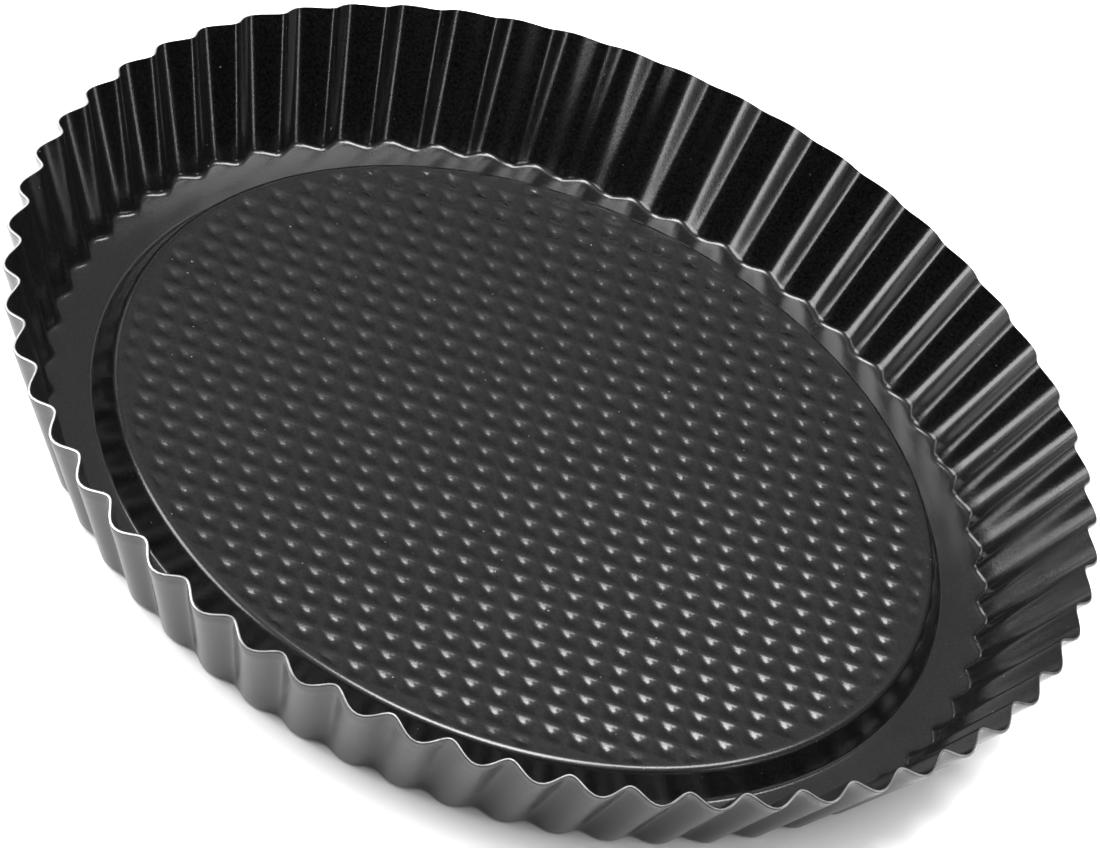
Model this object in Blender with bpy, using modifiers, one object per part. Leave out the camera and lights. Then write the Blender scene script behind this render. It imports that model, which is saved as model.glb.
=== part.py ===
"""Fluted tart pan with a raised centre.

The pan is one pressing of thin steel sheet, coated on both faces before it was pressed and
trimmed, so it has three pieces that lie one inside the other: the coating of the outside, the
steel, and the non-stick coating of the inside. All three follow one pressed surface, the middle of
the sheet: a raised round plateau, a step down, a flat ring that the pan stands on, and a fluted
wall that flares out to a cut rim.

Units are metres, +Z is up. The origin is on the pan's axis, at the underside of the ring.
"""

import math

import bpy
import bmesh
from mathutils import Vector

# Layers of the coated sheet. The coatings are thicker than real ones, so that they are solids.
STEEL_THICKNESS = 0.00045
COATING_THICKNESS = 0.00012
LAYER_GAP = 0.00005
SHEET_THICKNESS = STEEL_THICKNESS + 2.0 * (COATING_THICKNESS + LAYER_GAP)
COATING_DISTANCE = STEEL_THICKNESS / 2.0 + LAYER_GAP + COATING_THICKNESS / 2.0

# Heights of the middle of the sheet.
RING_HEIGHT = SHEET_THICKNESS / 2.0
STEP_HEIGHT = 0.0076
PLATEAU_HEIGHT = RING_HEIGHT + STEP_HEIGHT

# The step between plateau and ring, as the sharp corners that its fillets round off.
STEP_TOP_RADIUS = 0.1048
STEP_FOOT_RADIUS = 0.1087
STEP_TOP_FILLET = 0.0019
STEP_FOOT_FILLET = 0.0020

# The flutes: a lobe bulges outwards, a cusp is the narrow fold between two lobes.
FLUTES = 58
FIRST_LOBE_ANGLE = math.radians(1.84)
CUSP_SOFTNESS = 0.25
FLUTE_COLUMNS = (-0.28, 0.0, 0.28, 0.5)

# The wall runs straight from its foot on the ring to the rim, at a lobe and at a cusp.
FOOT_LOBE_RADIUS = 0.1215
FOOT_CUSP_RADIUS = 0.1192
RIM_LOBE_RADIUS = 0.13965
RIM_CUSP_RADIUS = 0.1364
RIM_LOBE_HEIGHT = 0.0310
RIM_CUSP_HEIGHT = 0.0330
FOOT_FILLET = 0.0026

# Two circles that keep the middle of the ring flat.
RING_INNER_CIRCLE = 0.1122
RING_OUTER_CIRCLE = 0.1165

# How many chords stand for each rounded corner.
STEP_FILLET_CHORDS = 2
FOOT_FILLET_CHORDS = 2


def lobe_share(turn):
    """How far out the sheet is, from 0 at a cusp to 1 at a lobe; turn counts flutes from a lobe."""
    swing = math.cos(math.pi * turn) ** 2
    raised = math.sqrt(swing + CUSP_SOFTNESS ** 2) - CUSP_SOFTNESS
    return raised / (math.sqrt(1.0 + CUSP_SOFTNESS ** 2) - CUSP_SOFTNESS)


def blend(at_cusp, at_lobe, share):
    return at_cusp + (at_lobe - at_cusp) * share


def fillet(before, corner, after, radius, chords):
    """Points (radius, height) of an arc that rounds off a corner between two straight runs."""
    to_before = (before - corner).normalized()
    to_after = (after - corner).normalized()
    half_angle = to_before.angle(to_after) / 2.0
    middle_way = (to_before + to_after).normalized()
    centre = corner + middle_way * (radius / math.sin(half_angle))
    reach = radius / math.tan(half_angle)
    start = corner + to_before * reach - centre
    end = corner + to_after * reach - centre
    sweep = start.angle(end)
    points = []
    for step in range(chords + 1):
        part = step / chords
        arm = (start * math.sin((1.0 - part) * sweep) + end * math.sin(part * sweep)) / math.sin(sweep)
        points.append(centre + arm)
    return points


def circle_of(bm, point, angles):
    """A circle of vertices at one (radius, height)."""
    radius, height = point
    return [bm.verts.new((radius * math.cos(a), radius * math.sin(a), height)) for a in angles]


def stitch(bm, inner, outer):
    """Faces between two closed rows of vertices that start at the same side of the pan."""
    if len(inner) == len(outer):
        for index in range(len(inner)):
            after = (index + 1) % len(inner)
            bm.faces.new((inner[index], outer[index], outer[after], inner[after]))
        return
    # The outer row is finer: each outer edge joins the inner vertex that it is nearest to.
    share = len(outer) // len(inner)
    for index in range(len(outer)):
        after = (index + 1) % len(outer)
        near = ((index + share // 2) // share) % len(inner)
        near_after = ((index + 1 + share // 2) // share) % len(inner)
        bm.faces.new((inner[near], outer[index], outer[after]))
        if near != near_after:
            bm.faces.new((inner[near], outer[after], inner[near_after]))


def plateau_and_ring(bm, angles):
    """The turned middle of the pan, from the plateau's edge to the ring."""
    axis_point = Vector((0.0, PLATEAU_HEIGHT))
    top_corner = Vector((STEP_TOP_RADIUS, PLATEAU_HEIGHT))
    foot_corner = Vector((STEP_FOOT_RADIUS, RING_HEIGHT))
    ring_point = Vector((RING_OUTER_CIRCLE, RING_HEIGHT))
    profile = fillet(axis_point, top_corner, foot_corner, STEP_TOP_FILLET, STEP_FILLET_CHORDS)
    profile += fillet(top_corner, foot_corner, ring_point, STEP_FOOT_FILLET, STEP_FILLET_CHORDS)
    profile.append(Vector((RING_INNER_CIRCLE, RING_HEIGHT)))
    profile.append(ring_point)
    rows = [circle_of(bm, point, angles) for point in profile]
    bm.faces.new(rows[0])
    for inner, outer in zip(rows, rows[1:]):
        stitch(bm, inner, outer)
    return rows[-1]


def wall_column(bm, flute, turn):
    """The vertices of one line up the wall, from the ring's edge to the rim."""
    share = lobe_share(turn)
    angle = FIRST_LOBE_ANGLE + (flute + turn) * 2.0 * math.pi / FLUTES
    ring_point = Vector((RING_OUTER_CIRCLE, RING_HEIGHT))
    foot = Vector((blend(FOOT_CUSP_RADIUS, FOOT_LOBE_RADIUS, share), RING_HEIGHT))
    rim_radius = blend(RIM_CUSP_RADIUS, RIM_LOBE_RADIUS, share)
    rim = Vector((rim_radius, blend(RIM_CUSP_HEIGHT, RIM_LOBE_HEIGHT, share)))
    profile = fillet(ring_point, foot, rim, FOOT_FILLET, FOOT_FILLET_CHORDS)
    profile.append(rim)
    return [bm.verts.new((r * math.cos(angle), r * math.sin(angle), z)) for r, z in profile]


def pressed_surface(name):
    """The middle of the sheet as an open surface, lofted from circles to fluted rows."""
    bm = bmesh.new()
    lobe_angles = [FIRST_LOBE_ANGLE + flute * 2.0 * math.pi / FLUTES for flute in range(FLUTES)]
    ring_edge = plateau_and_ring(bm, lobe_angles)
    columns = []
    for flute in range(FLUTES):
        for turn in FLUTE_COLUMNS:
            columns.append(wall_column(bm, flute, turn))
    # The rows start at a lobe, as the circles do.
    first = FLUTE_COLUMNS.index(0.0)
    columns = columns[first:] + columns[:first]
    rows = [list(row) for row in zip(*columns)]
    stitch(bm, ring_edge, rows[0])
    for inner, outer in zip(rows, rows[1:]):
        stitch(bm, inner, outer)
    bmesh.ops.recalc_face_normals(bm, faces=bm.faces)
    bm.faces.ensure_lookup_table()
    if bm.faces[0].normal.z < 0.0:
        bmesh.ops.reverse_faces(bm, faces=bm.faces)
    mesh = bpy.data.meshes.new(name)
    bm.to_mesh(mesh)
    bm.free()
    mesh.shade_smooth()
    mesh.set_sharp_from_angle(angle=math.radians(50.0))
    return mesh


def plain_material(name, colour, roughness, metallic):
    material = bpy.data.materials.new(name)
    material.use_nodes = True
    shader = material.node_tree.nodes["Principled BSDF"]
    shader.inputs["Base Color"].default_value = (*colour, 1.0)
    shader.inputs["Roughness"].default_value = roughness
    shader.inputs["Metallic"].default_value = metallic
    return material


def layer(collection, name, thickness, distance, material):
    """One layer of the sheet, its middle at a signed distance towards the inside of the pan."""
    mesh = pressed_surface(name)
    mesh.materials.append(material)
    piece = bpy.data.objects.new(name, mesh)
    collection.objects.link(piece)
    shell = piece.modifiers.new("sheet", "SOLIDIFY")
    shell.thickness = thickness
    shell.offset = 2.0 * distance / thickness
    shell.use_even_offset = True
    shell.use_quality_normals = True
    return piece


def outer_coating(collection):
    material = plain_material("black_outer_coating", (0.018, 0.018, 0.019), 0.32, 0.0)
    return layer(collection, "outer_coating", COATING_THICKNESS, -COATING_DISTANCE, material)


def steel_pressing(collection):
    material = plain_material("pressed_steel", (0.42, 0.42, 0.43), 0.38, 1.0)
    return layer(collection, "steel_pressing", STEEL_THICKNESS, 0.0, material)


def inner_nonstick_coating(collection):
    material = plain_material("black_nonstick_coating", (0.016, 0.016, 0.017), 0.36, 0.0)
    return layer(collection, "inner_nonstick_coating", COATING_THICKNESS, COATING_DISTANCE, material)


def main():
    for leftover in list(bpy.data.objects):
        bpy.data.objects.remove(leftover, do_unlink=True)
    collection = bpy.data.collections.new("tart_pan")
    bpy.context.scene.collection.children.link(collection)
    outer_coating(collection)
    steel_pressing(collection)
    inner_nonstick_coating(collection)


main()
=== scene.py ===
"""The look of the fluted tart pan: fine meshes for the three layers of its coated sheet, their
materials, and a pale studio.

All lengths are metres in the frame's own axes: +Z up, the pan's axis on Z, its ring on z = 0.
"""

import math

import bpy
import numpy as np
from mathutils import Matrix, Vector
from mathutils.geometry import delaunay_2d_cdt


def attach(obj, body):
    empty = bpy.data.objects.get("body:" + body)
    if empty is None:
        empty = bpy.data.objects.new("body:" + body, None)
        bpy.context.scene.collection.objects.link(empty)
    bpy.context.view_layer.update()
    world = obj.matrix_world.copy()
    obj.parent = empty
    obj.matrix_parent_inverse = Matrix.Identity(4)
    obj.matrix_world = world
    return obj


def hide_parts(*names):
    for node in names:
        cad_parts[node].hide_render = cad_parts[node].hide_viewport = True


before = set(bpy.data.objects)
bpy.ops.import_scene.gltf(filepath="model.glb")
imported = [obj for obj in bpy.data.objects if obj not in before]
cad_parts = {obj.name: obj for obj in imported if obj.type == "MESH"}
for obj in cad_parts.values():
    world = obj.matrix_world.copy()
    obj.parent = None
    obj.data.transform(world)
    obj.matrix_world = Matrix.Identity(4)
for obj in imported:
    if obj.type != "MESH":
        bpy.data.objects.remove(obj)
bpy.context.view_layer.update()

# Layers of the coated sheet, as the CAD model has them.
STEEL_THICKNESS = 0.00045
COATING_THICKNESS = 0.00012
LAYER_GAP = 0.00005
SHEET_THICKNESS = STEEL_THICKNESS + 2.0 * (COATING_THICKNESS + LAYER_GAP)

# Heights of the middle of the sheet.
RING_HEIGHT = SHEET_THICKNESS / 2.0
STEP_HEIGHT = 0.0076
PLATEAU_HEIGHT = RING_HEIGHT + STEP_HEIGHT

# The step between plateau and ring, as the sharp corners that its fillets round off.
STEP_TOP_RADIUS = 0.1048
STEP_FOOT_RADIUS = 0.1087
STEP_TOP_FILLET = 0.0019
STEP_FOOT_FILLET = 0.0020
DIMPLED_RADIUS = STEP_TOP_RADIUS - STEP_TOP_FILLET

# The flutes: a lobe bulges outwards, a cusp is the narrow fold between two lobes.
FLUTES = 58
FIRST_LOBE_ANGLE = math.radians(1.84)
FOOT_CUSP_SOFTNESS = 1.0
RIM_CUSP_SOFTNESS = 0.6
FOOT_LOBE_RADIUS = 0.1215
FOOT_CUSP_RADIUS = 0.1192
RIM_LOBE_RADIUS = 0.13965
RIM_CUSP_RADIUS = 0.1364
RIM_LOBE_HEIGHT = 0.0310
RIM_CUSP_HEIGHT = 0.0330
FOOT_FILLET = 0.0026
RING_INNER_CIRCLE = 0.1122
RING_OUTER_CIRCLE = 0.1162

# The dimples of the plateau: a square grid of shallow inverted pyramids.
DIMPLE_PITCH = 0.0070
DIMPLE_DEPTH = 0.00080
DIMPLE_STEEPENING = 1.5
DIMPLE_SQUARENESS = 6.0
RIDGE_SOFTNESS = 0.0016
DIMPLE_SAMPLES = (-0.5, -0.34, -0.17, 0.0, 0.17, 0.34)

# How far the dimples thin out towards the plateau's edge, counted inwards from its fillet.
DIMPLE_FADE = 0.0012
DIMPLE_MARGIN = -0.0005
DIMPLE_SHALLOWING = 0.0028

# The sheared rim rolls over towards the outside of the pan.
ROLLOVER_RADIUS = 0.00042

# How finely the meshes are made.
STEP_COLUMNS = FLUTES * 8
FLUTE_COLUMNS = 16
CUSP_CROWDING = 0.08
FILLET_CHORDS = 6
WALL_ROWS = 8
EDGE_CHORDS = 4


def lobe_share(turn, softness):
    """How far out the sheet is, from 0 at a cusp to 1 at a lobe; turn counts flutes from a lobe."""
    swing = math.cos(math.pi * turn) ** 2
    raised = math.sqrt(swing + softness ** 2) - softness
    return raised / (math.sqrt(1.0 + softness ** 2) - softness)


def blend(at_cusp, at_lobe, share):
    """A value between its size at a cusp and at a lobe."""
    return at_cusp + (at_lobe - at_cusp) * share


def fillet(before, corner, after, radius, chords=FILLET_CHORDS):
    """Points (radius, height) of an arc that rounds off a corner between two straight runs."""
    to_before = (before - corner).normalized()
    to_after = (after - corner).normalized()
    half_angle = to_before.angle(to_after) / 2.0
    middle_way = (to_before + to_after).normalized()
    centre = corner + middle_way * (radius / math.sin(half_angle))
    reach = radius / math.tan(half_angle)
    start = corner + to_before * reach - centre
    end = corner + to_after * reach - centre
    sweep = start.angle(end)
    points = []
    for step in range(chords + 1):
        part = step / chords
        arm = (start * math.sin((1.0 - part) * sweep) + end * math.sin(part * sweep)) / math.sin(sweep)
        points.append(centre + arm)
    return points


def dimple_drop(x, y):
    """How far the plateau is pressed down at a point: square pyramids that steepen to the middle."""
    u = np.abs((x / DIMPLE_PITCH) % 1.0 - 0.5) * 2.0
    v = np.abs((y / DIMPLE_PITCH) % 1.0 - 0.5) * 2.0
    power = DIMPLE_SQUARENESS / 2.0
    reach = (u * u + RIDGE_SOFTNESS) ** power + (v * v + RIDGE_SOFTNESS) ** power
    reach = reach ** (1.0 / DIMPLE_SQUARENESS)
    pressed = np.clip(1.0 - reach, 0.0, 1.0) ** DIMPLE_STEEPENING
    edge = (DIMPLED_RADIUS - np.hypot(x, y)) / DIMPLE_FADE
    edge = np.clip(edge, 0.0, 1.0)
    middle_x = (np.floor(x / DIMPLE_PITCH) + 0.5) * DIMPLE_PITCH
    middle_y = (np.floor(y / DIMPLE_PITCH) + 0.5) * DIMPLE_PITCH
    whole = (DIMPLED_RADIUS - DIMPLE_MARGIN - np.hypot(middle_x, middle_y)) / DIMPLE_SHALLOWING
    whole = np.clip(whole, 0.0, 1.0)
    return DIMPLE_DEPTH * pressed * whole * edge * edge * (3.0 - 2.0 * edge)


class Surface:
    """The middle of the pressed sheet: points, the way out of the metal at each, and faces."""

    def __init__(self):
        self.points = []
        self.faces = []

    def row(self, points):
        """Adds points and returns their indices."""
        first = len(self.points)
        self.points.extend(points)
        return list(range(first, len(self.points)))

    def stitch(self, inner, outer):
        """Faces between two closed rows; the outer one has as many points or a multiple."""
        share = len(outer) // len(inner)
        for index in range(len(outer)):
            after = (index + 1) % len(outer)
            if share == 1:
                self.faces.append((inner[index], outer[index], outer[after], inner[after]))
                continue
            near = ((index + share // 2) // share) % len(inner)
            near_after = ((index + 1 + share // 2) // share) % len(inner)
            self.faces.append((inner[near], outer[index], outer[after]))
            if near != near_after:
                self.faces.append((inner[near], outer[after], inner[near_after]))


def circle(point, columns):
    """A level circle of points through one (radius, height) point."""
    radius, height = point
    angles = [FIRST_LOBE_ANGLE + i * 2.0 * math.pi / columns for i in range(columns)]
    return [(radius * math.cos(a), radius * math.sin(a), height) for a in angles]


def add_plateau(surface, edge_row):
    """The dimpled disk, a triangulated grid that follows the pyramids, out to the edge's circle."""
    edge_points = [Vector(surface.points[i][:2]) for i in edge_row]
    limit = edge_points[0].length - 0.0005
    cells = int(limit / DIMPLE_PITCH) + 1
    marks = [(c + 0.5 + s) * DIMPLE_PITCH for c in range(-cells, cells) for s in DIMPLE_SAMPLES]
    inside = [Vector((x, y)) for x in marks for y in marks if math.hypot(x, y) < limit]
    ring = [(i, (i + 1) % len(edge_row)) for i in range(len(edge_row))]
    flat = delaunay_2d_cdt(edge_points + inside, ring, [], 1, 1e-7)
    origin = {}
    for new_index, sources in enumerate(flat[3]):
        origin[new_index] = sources[0]
    first = len(surface.points)
    surface.points.extend((p.x, p.y, PLATEAU_HEIGHT) for p in inside)

    def index_of(new_index):
        source = origin[new_index]
        return edge_row[source] if source < len(edge_row) else first + source - len(edge_row)

    for face in flat[2]:
        surface.faces.append(tuple(index_of(i) for i in face))
    return range(first, len(surface.points))


def flute_turns():
    """Places of the columns along one flute, from a lobe, crowded together at the cusp."""
    steps = [i / FLUTE_COLUMNS for i in range(FLUTE_COLUMNS)]
    return [s + CUSP_CROWDING * math.sin(2.0 * math.pi * s) for s in steps]


def wall_profile(turn):
    """(radius, height) points up the wall, from the ring's edge to the rim, at one place."""
    foot_share = lobe_share(turn, FOOT_CUSP_SOFTNESS)
    rim_share = lobe_share(turn, RIM_CUSP_SOFTNESS)
    ring_point = Vector((RING_OUTER_CIRCLE, RING_HEIGHT))
    foot = Vector((blend(FOOT_CUSP_RADIUS, FOOT_LOBE_RADIUS, foot_share), RING_HEIGHT))
    rim_radius = blend(RIM_CUSP_RADIUS, RIM_LOBE_RADIUS, rim_share)
    rim = Vector((rim_radius, blend(RIM_CUSP_HEIGHT, RIM_LOBE_HEIGHT, rim_share)))
    profile = fillet(ring_point, foot, rim, FOOT_FILLET)
    start = profile[-1]
    for row in range(1, WALL_ROWS + 1):
        profile.append(start.lerp(rim, row / WALL_ROWS))
    return profile


def pressed_surface():
    """The whole middle surface, with the way out towards the inside of the pan at each point."""
    surface = Surface()
    axis_point = Vector((0.0, PLATEAU_HEIGHT))
    top_corner = Vector((STEP_TOP_RADIUS, PLATEAU_HEIGHT))
    foot_corner = Vector((STEP_FOOT_RADIUS, RING_HEIGHT))
    ring_point = Vector((RING_OUTER_CIRCLE, RING_HEIGHT))
    profile = fillet(axis_point, top_corner, foot_corner, STEP_TOP_FILLET)
    profile += fillet(top_corner, foot_corner, ring_point, STEP_FOOT_FILLET)
    profile.append(Vector((RING_INNER_CIRCLE, RING_HEIGHT)))
    rows = [surface.row(circle(point, STEP_COLUMNS)) for point in profile]
    for inner, outer in zip(rows, rows[1:]):
        surface.stitch(inner, outer)

    dimpled = add_plateau(surface, rows[0])

    columns = []
    outer_ring = []
    for flute in range(FLUTES):
        for turn in flute_turns():
            angle = FIRST_LOBE_ANGLE + (flute + turn) * 2.0 * math.pi / FLUTES
            across = math.cos(angle)
            along = math.sin(angle)
            columns.append([(r * across, r * along, z) for r, z in wall_profile(turn)])
            outer_ring.append((RING_OUTER_CIRCLE * across, RING_OUTER_CIRCLE * along, RING_HEIGHT))
    wall_rows = [surface.row(outer_ring)]
    wall_rows += [surface.row(row) for row in zip(*columns)]
    surface.stitch(rows[-1], wall_rows[0])
    for inner, outer in zip(wall_rows, wall_rows[1:]):
        surface.stitch(inner, outer)

    points = np.array(surface.points)
    normals = vertex_normals(points, surface.faces)
    x = points[dimpled.start:dimpled.stop, 0]
    y = points[dimpled.start:dimpled.stop, 1]
    points[dimpled.start:dimpled.stop, 2] -= dimple_drop(x, y)
    step = 1e-6
    slope_x = (dimple_drop(x - step, y) - dimple_drop(x + step, y)) / (2.0 * step)
    slope_y = (dimple_drop(x, y - step) - dimple_drop(x, y + step)) / (2.0 * step)
    upright = np.stack([-slope_x, -slope_y, np.ones_like(x)], axis=1)
    normals[dimpled.start:dimpled.stop] = upright / np.linalg.norm(upright, axis=1)[:, None]
    return points, normals, surface.faces, wall_rows[-1], dimpled


def vertex_normals(points, faces):
    """Area-weighted normals, turned towards the inside of the pan."""
    mesh = bpy.data.meshes.new("middle")
    mesh.from_pydata(points.tolist(), [], faces)
    mesh.update()
    normals = np.empty(len(points) * 3)
    mesh.vertex_normals.foreach_get("vector", normals)
    normals = normals.reshape(-1, 3)
    bpy.data.meshes.remove(mesh)
    return normals if normals[0, 2] > 0.0 else -normals


def set_dimple_normals(mesh, sides, dimpled):
    """Exact normals on the dimples, and the mesh's own everywhere else."""
    corners = np.empty(len(mesh.loops) * 3)
    mesh.corner_normals.foreach_get("vector", corners)
    corners = corners.reshape(-1, 3)
    owners = np.empty(len(mesh.loops), dtype=np.int32)
    mesh.loops.foreach_get("vertex_index", owners)
    for first, normals in sides.items():
        on_dimples = (owners >= first + dimpled.start) & (owners < first + dimpled.stop)
        corners[on_dimples] = normals[owners[on_dimples] - first]
    mesh.normals_split_custom_set(corners.tolist())


def rollover(depth):
    """How far the sheared rim falls away towards its outer side; depth is towards the inside."""
    return ROLLOVER_RADIUS - math.sqrt(ROLLOVER_RADIUS ** 2 - min(depth, 0.0) ** 2)


def layer(name, node, low, high, sheet, material):
    """A closed solid between two distances from the middle of the sheet."""
    points, normals, faces, rim, dimpled = sheet
    count = len(points)
    upper = points + normals * high
    lower = points + normals * low
    rim_ids = np.array(rim)
    along = points[rim_ids] - points[rim_ids - len(rim)]
    along /= np.linalg.norm(along, axis=1)[:, None]
    depths = [high + (low - high) * step / EDGE_CHORDS for step in range(EDGE_CHORDS + 1)]
    edge_rows = [points[rim_ids] + normals[rim_ids] * d - along * rollover(d) for d in depths]
    upper[rim_ids] = edge_rows[0]
    lower[rim_ids] = edge_rows[-1]
    vertices = np.concatenate([upper, lower] + edge_rows[1:-1])

    all_faces = [tuple(face) for face in faces]
    all_faces += [tuple(i + count for i in reversed(face)) for face in faces]
    bands = [list(rim)]
    for row in range(EDGE_CHORDS - 1):
        first = 2 * count + row * len(rim)
        bands.append(list(range(first, first + len(rim))))
    bands.append([i + count for i in rim])
    for near, far in zip(bands, bands[1:]):
        for index in range(len(rim)):
            after = (index + 1) % len(rim)
            all_faces.append((near[index], far[index], far[after], near[after]))

    mesh = bpy.data.meshes.new(name)
    mesh.from_pydata(vertices.tolist(), [], all_faces)
    mesh.validate()
    mesh.update()
    mesh.shade_smooth()
    mesh.set_sharp_from_angle(angle=math.radians(30.0))
    set_dimple_normals(mesh, {0: normals, count: -normals}, dimpled)
    mesh.materials.append(material)
    piece = bpy.data.objects.new(name, mesh)
    bpy.context.scene.collection.objects.link(piece)
    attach(piece, "root")
    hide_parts(node)
    return piece


def new_material(name):
    """A material with its nodes, links and shader."""
    material = bpy.data.materials.new(name)
    material.use_nodes = True
    nodes = material.node_tree.nodes
    return material, nodes, material.node_tree.links, nodes["Principled BSDF"]


def noise(nodes, links, source, scale, detail, roughness):
    """A noise value from 0 to 1; scale is in features per metre."""
    texture = nodes.new("ShaderNodeTexNoise")
    texture.inputs["Scale"].default_value = scale
    texture.inputs["Detail"].default_value = detail
    texture.inputs["Roughness"].default_value = roughness
    links.new(source, texture.inputs["Vector"])
    return texture.outputs["Fac"]


def ramp(nodes, links, value, low, high, at_low, at_high):
    """value from low to high mapped to at_low to at_high."""
    node = nodes.new("ShaderNodeMapRange")
    links.new(value, node.inputs["Value"])
    node.inputs["From Min"].default_value = low
    node.inputs["From Max"].default_value = high
    node.inputs["To Min"].default_value = at_low
    node.inputs["To Max"].default_value = at_high
    return node.outputs["Result"]


def coating_material(name, dark, light, smooth, rough, grain):
    """A baked black coating: finely grained colour, cloudy gloss, fine bumps and a few dust specks."""
    material, nodes, links, shader = new_material(name)
    place = nodes.new("ShaderNodeTexCoord").outputs["Object"]
    clouds = noise(nodes, links, place, 60.0, 4.0, 0.6)
    fine = noise(nodes, links, place, 1500.0, 3.0, 0.7)
    dust = ramp(nodes, links, noise(nodes, links, place, 900.0, 1.0, 0.5), 0.80, 0.84, 0.0, 1.0)
    mix = nodes.new("ShaderNodeMix")
    mix.data_type = "RGBA"
    mix.inputs["A"].default_value = (*dark, 1.0)
    mix.inputs["B"].default_value = (*light, 1.0)
    links.new(ramp(nodes, links, fine, 0.35, 0.65, 0.0, 1.0), mix.inputs["Factor"])
    speckled = nodes.new("ShaderNodeMix")
    speckled.data_type = "RGBA"
    links.new(dust, speckled.inputs["Factor"])
    links.new(mix.outputs["Result"], speckled.inputs["A"])
    speckled.inputs["B"].default_value = (0.15, 0.15, 0.15, 1.0)
    links.new(speckled.outputs["Result"], shader.inputs["Base Color"])
    links.new(ramp(nodes, links, clouds, 0.3, 0.7, smooth, rough), shader.inputs["Roughness"])
    shader.inputs["IOR"].default_value = 1.5
    bump = nodes.new("ShaderNodeBump")
    bump.inputs["Strength"].default_value = grain
    bump.inputs["Distance"].default_value = 0.0001
    links.new(fine, bump.inputs["Height"])
    links.new(bump.outputs["Normal"], shader.inputs["Normal"])
    return material


def steel_material():
    """Sheared steel: pale metal, mottled with darker patches along the cut."""
    material, nodes, links, shader = new_material("cut_steel")
    place = nodes.new("ShaderNodeTexCoord").outputs["Object"]
    patches = noise(nodes, links, place, 400.0, 3.0, 0.6)
    mix = nodes.new("ShaderNodeMix")
    mix.data_type = "RGBA"
    mix.inputs["A"].default_value = (0.20, 0.20, 0.21, 1.0)
    mix.inputs["B"].default_value = (0.42, 0.42, 0.43, 1.0)
    links.new(patches, mix.inputs["Factor"])
    links.new(mix.outputs["Result"], shader.inputs["Base Color"])
    shader.inputs["Metallic"].default_value = 1.0
    links.new(ramp(nodes, links, patches, 0.3, 0.7, 0.28, 0.42), shader.inputs["Roughness"])
    bump = nodes.new("ShaderNodeBump")
    bump.inputs["Strength"].default_value = 0.3
    bump.inputs["Distance"].default_value = 0.00002
    links.new(patches, bump.inputs["Height"])
    links.new(bump.outputs["Normal"], shader.inputs["Normal"])
    return material


def make_pan():
    """The steel sheet and its two coatings, around one middle surface."""
    sheet = pressed_surface()
    half_steel = STEEL_THICKNESS / 2.0
    near = half_steel + LAYER_GAP
    far = near + COATING_THICKNESS
    inside = coating_material(
        "black_nonstick", (0.0003, 0.0003, 0.0003), (0.0055, 0.0055, 0.0055), 0.17, 0.22, 0.28)
    outside = coating_material(
        "black_outer_coat", (0.0005, 0.0005, 0.0006), (0.0070, 0.0070, 0.0071), 0.19, 0.25, 0.35)
    layer("nonstick_surface", "inner_nonstick_coating", near, far, sheet, inside)
    layer("steel_sheet", "steel_pressing", -half_steel, half_steel, sheet, steel_material())
    layer("outer_surface", "outer_coating", -far, -near, sheet, outside)


# Studio ---------------------------------------------------------------------------------------

CAMERA_AIM = Vector((0.0038, 0.0153, 0.0084))
CAMERA_HEADING = math.radians(8.5)
CAMERA_ELEVATION = math.radians(38.93)
CAMERA_ROLL = math.radians(23.64)
CAMERA_DISTANCE = 2.507
CAMERA_LENS = 334.6

FLOOR_REACH = 6.0
FLOOR_HEIGHT = -0.0002


def make_camera():
    """A long lens looking down at the pan, turned about its own axis as the view is."""
    level = math.cos(CAMERA_ELEVATION)
    forward = Vector((
        level * math.sin(CAMERA_HEADING), level * math.cos(CAMERA_HEADING), -math.sin(CAMERA_ELEVATION)))
    right = forward.cross(Vector((0.0, 0.0, 1.0))).normalized()
    up = right.cross(forward)
    rolled_right = right * math.cos(CAMERA_ROLL) + up * math.sin(CAMERA_ROLL)
    rolled_up = up * math.cos(CAMERA_ROLL) - right * math.sin(CAMERA_ROLL)
    turn = Matrix((rolled_right, rolled_up, -forward)).transposed()
    data = bpy.data.cameras.new("camera")
    data.lens = CAMERA_LENS
    data.sensor_width = 36.0
    data.clip_start = 0.05
    data.clip_end = 50.0
    camera = bpy.data.objects.new("camera", data)
    camera.matrix_world = Matrix.Translation(CAMERA_AIM - forward * CAMERA_DISTANCE) @ turn.to_4x4()
    bpy.context.scene.collection.objects.link(camera)
    bpy.context.scene.camera = camera


def area_light(name, place, size, radiance, level=False):
    """A soft rectangle, level or facing the pan, given its own brightness and not its power."""
    data = bpy.data.lights.new(name, "AREA")
    data.shape = "RECTANGLE"
    data.size, data.size_y = size
    data.energy = radiance * math.pi * size[0] * size[1]
    light = bpy.data.objects.new(name, data)
    light.location = place
    if not level:
        light.rotation_euler = (-Vector(place)).to_track_quat("-Z", "Y").to_euler()
    light.visible_camera = False
    bpy.context.scene.collection.objects.link(light)
    return light


def around(heading, elevation, distance):
    """A place seen from the pan's middle; heading is counted from +Y towards +X, in degrees."""
    heading = math.radians(heading)
    elevation = math.radians(elevation)
    level = math.cos(elevation) * distance
    return Vector((level * math.sin(heading), level * math.cos(heading), math.sin(elevation) * distance))


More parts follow.
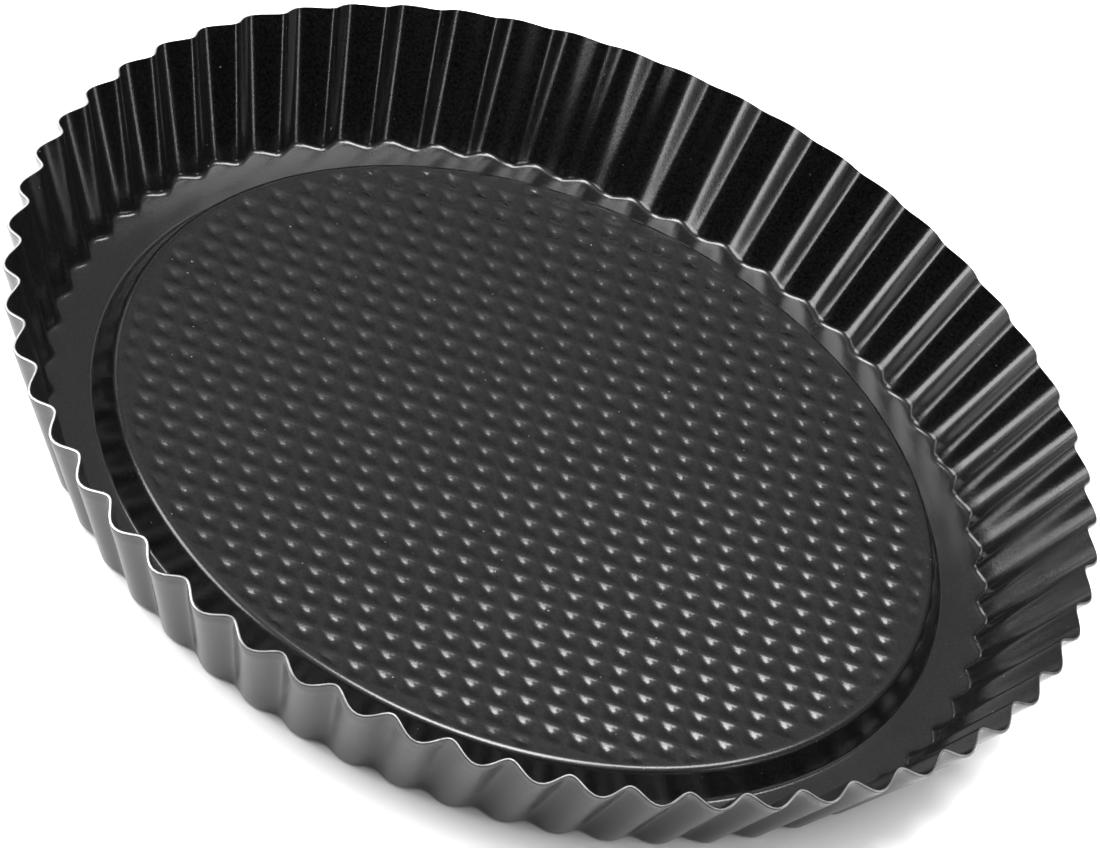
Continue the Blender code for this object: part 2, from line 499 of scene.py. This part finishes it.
def make_floor():
    """A wide white floor, just under the pan."""
    mesh = bpy.data.meshes.new("floor")
    far = FLOOR_REACH
    corners = [(-far, -far, 0), (far, -far, 0), (far, far, 0), (-far, far, 0)]
    mesh.from_pydata(corners, [], [(0, 1, 2, 3)])
    floor = bpy.data.objects.new("floor", mesh)
    floor.location.z = FLOOR_HEIGHT
    material, nodes, links, shader = new_material("white_paper")
    place = nodes.new("ShaderNodeTexCoord").outputs["Object"]
    fibres = noise(nodes, links, place, 300.0, 3.0, 0.5)
    links.new(ramp(nodes, links, fibres, 0.0, 1.0, 0.75, 0.85), shader.inputs["Roughness"])
    shader.inputs["Base Color"].default_value = (0.92, 0.92, 0.92, 1.0)
    mesh.materials.append(material)
    bpy.context.scene.collection.objects.link(floor)
    return floor


def sky_ramp(nodes, links, height, stops):
    """Grey by the height of the direction looked in; stops are (height, grey)."""
    node = nodes.new("ShaderNodeValToRGB")
    links.new(height, node.inputs["Fac"])
    elements = node.color_ramp.elements
    while len(elements) < len(stops):
        elements.new(0.5)
    for element, (position, grey) in zip(elements, stops):
        element.position = position
        element.color = (grey, grey, grey, 1.0)
    return node.outputs["Color"]


def make_studio():
    """A room that is darker low down, most of all in front, under a wide overhead softbox."""
    world = bpy.data.worlds.new("studio")
    world.use_nodes = True
    nodes = world.node_tree.nodes
    links = world.node_tree.links
    background = nodes["Background"]
    direction = nodes.new("ShaderNodeTexCoord").outputs["Generated"]
    parts = nodes.new("ShaderNodeSeparateXYZ")
    links.new(direction, parts.inputs["Vector"])
    behind = sky_ramp(nodes, links, parts.outputs["Z"], ((0.0, 0.10), (0.4, 0.22), (0.63, 0.48), (0.85, 1.0)))
    front = sky_ramp(nodes, links, parts.outputs["Z"], ((0.0, 0.01), (0.5, 0.02), (0.75, 0.15), (0.92, 1.0)))
    share = nodes.new("ShaderNodeMapRange")
    share.interpolation_type = "SMOOTHSTEP"
    links.new(parts.outputs["Y"], share.inputs["Value"])
    share.inputs["From Min"].default_value = -0.45
    share.inputs["From Max"].default_value = 0.25
    room = nodes.new("ShaderNodeMix")
    room.data_type = "RGBA"
    links.new(share.outputs["Result"], room.inputs["Factor"])
    links.new(front, room.inputs["A"])
    links.new(behind, room.inputs["B"])
    seen = nodes.new("ShaderNodeMix")
    seen.data_type = "RGBA"
    links.new(nodes.new("ShaderNodeLightPath").outputs["Is Camera Ray"], seen.inputs["Factor"])
    links.new(room.outputs["Result"], seen.inputs["A"])
    seen.inputs["B"].default_value = (0.9, 0.9, 0.9, 1.0)
    links.new(seen.outputs["Result"], background.inputs["Color"])
    bpy.context.scene.world = world
    area_light("overhead_softbox", (0.08, 0.05, 0.90), (0.38, 0.38), 22.0, level=True)
    area_light("back_right_softbox", (0.36, 0.32, 0.90), (0.46, 0.25), 17.0, level=True)
    area_light("left_softbox", around(-97.0, 30.0, 0.9), (0.60, 0.64), 11.0)
    area_light("back_left_softbox", around(-50.0, 15.0, 1.0), (0.80, 0.44), 4.0)
    area_light("right_strip", around(104.0, 20.0, 1.0), (0.10, 0.60), 9.0)
    fill = area_light("floor_fill", (-0.02, -0.30, 0.70), (1.30, 0.80), 2.4)
    only_floor = bpy.data.collections.new("only_floor")
    only_floor.objects.link(make_floor())
    fill.light_linking.receiver_collection = only_floor
    fill.light_linking.blocker_collection = only_floor


bpy.context.scene.view_settings.view_transform = "Standard"
make_camera()
make_pan()
make_studio()
